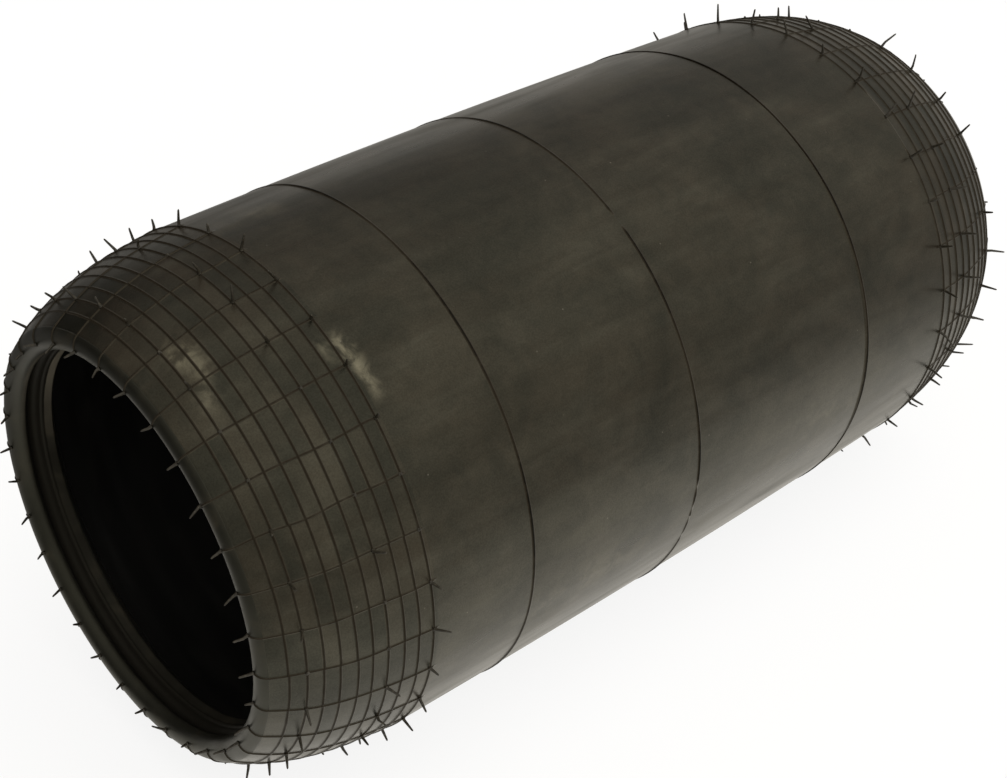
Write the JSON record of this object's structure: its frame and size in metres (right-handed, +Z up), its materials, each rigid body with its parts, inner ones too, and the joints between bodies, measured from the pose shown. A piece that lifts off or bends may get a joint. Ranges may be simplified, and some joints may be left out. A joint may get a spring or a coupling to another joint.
{
  "type": "air suspension spring",
  "caption": "Rolling lobe rubber sleeve for an air spring: a barrel open at both ends, with a wire bead in each mouth, ribbed shoulders and vent spues.",
  "frame": {"origin": "centre of the near bead seat, on the axis of the sleeve", "axes": "+X along the sleeve from the near mouth to the far mouth, +Z up as the sleeve lies on its side"},
  "size_m": [0.4608, 0.246, 0.2379],
  "materials": {
    "cover_rubber": "moulded, satin",
    "cord_ply": "rubbered textile cord",
    "liner_rubber": "smooth, satin",
    "chafer_rubber": "moulded, satin",
    "filler_rubber": "hard rubber, dull",
    "bead_wire": "brass coated steel wire",
    "bead_wrap": "square woven strip"
  },
  "bodies": {
    "near_end": {"outer_cover": "cover_rubber", "outer_ply": "cord_ply", "inner_ply": "cord_ply", "inner_liner": "liner_rubber", "near_bead_wires": "bead_wire", "near_bead_wrap": "bead_wrap", "near_bead_filler": "filler_rubber", "near_chafer": "chafer_rubber", "near_vent_spues": "cover_rubber"},
    "far_end": {"far_bead_wires": "bead_wire", "far_bead_wrap": "bead_wrap", "far_bead_filler": "filler_rubber", "far_chafer": "chafer_rubber", "far_vent_spues": "cover_rubber"}
  },
  "joints": [
    {"name": "stroke", "type": "slide", "parent": "near_end", "child": "far_end", "axis": [1, 0, 0], "range_m": [-0.12, 0], "stiffness_N_per_m": 1500, "deforming": ["outer_cover", "outer_ply", "inner_ply", "inner_liner"]}
  ]
}
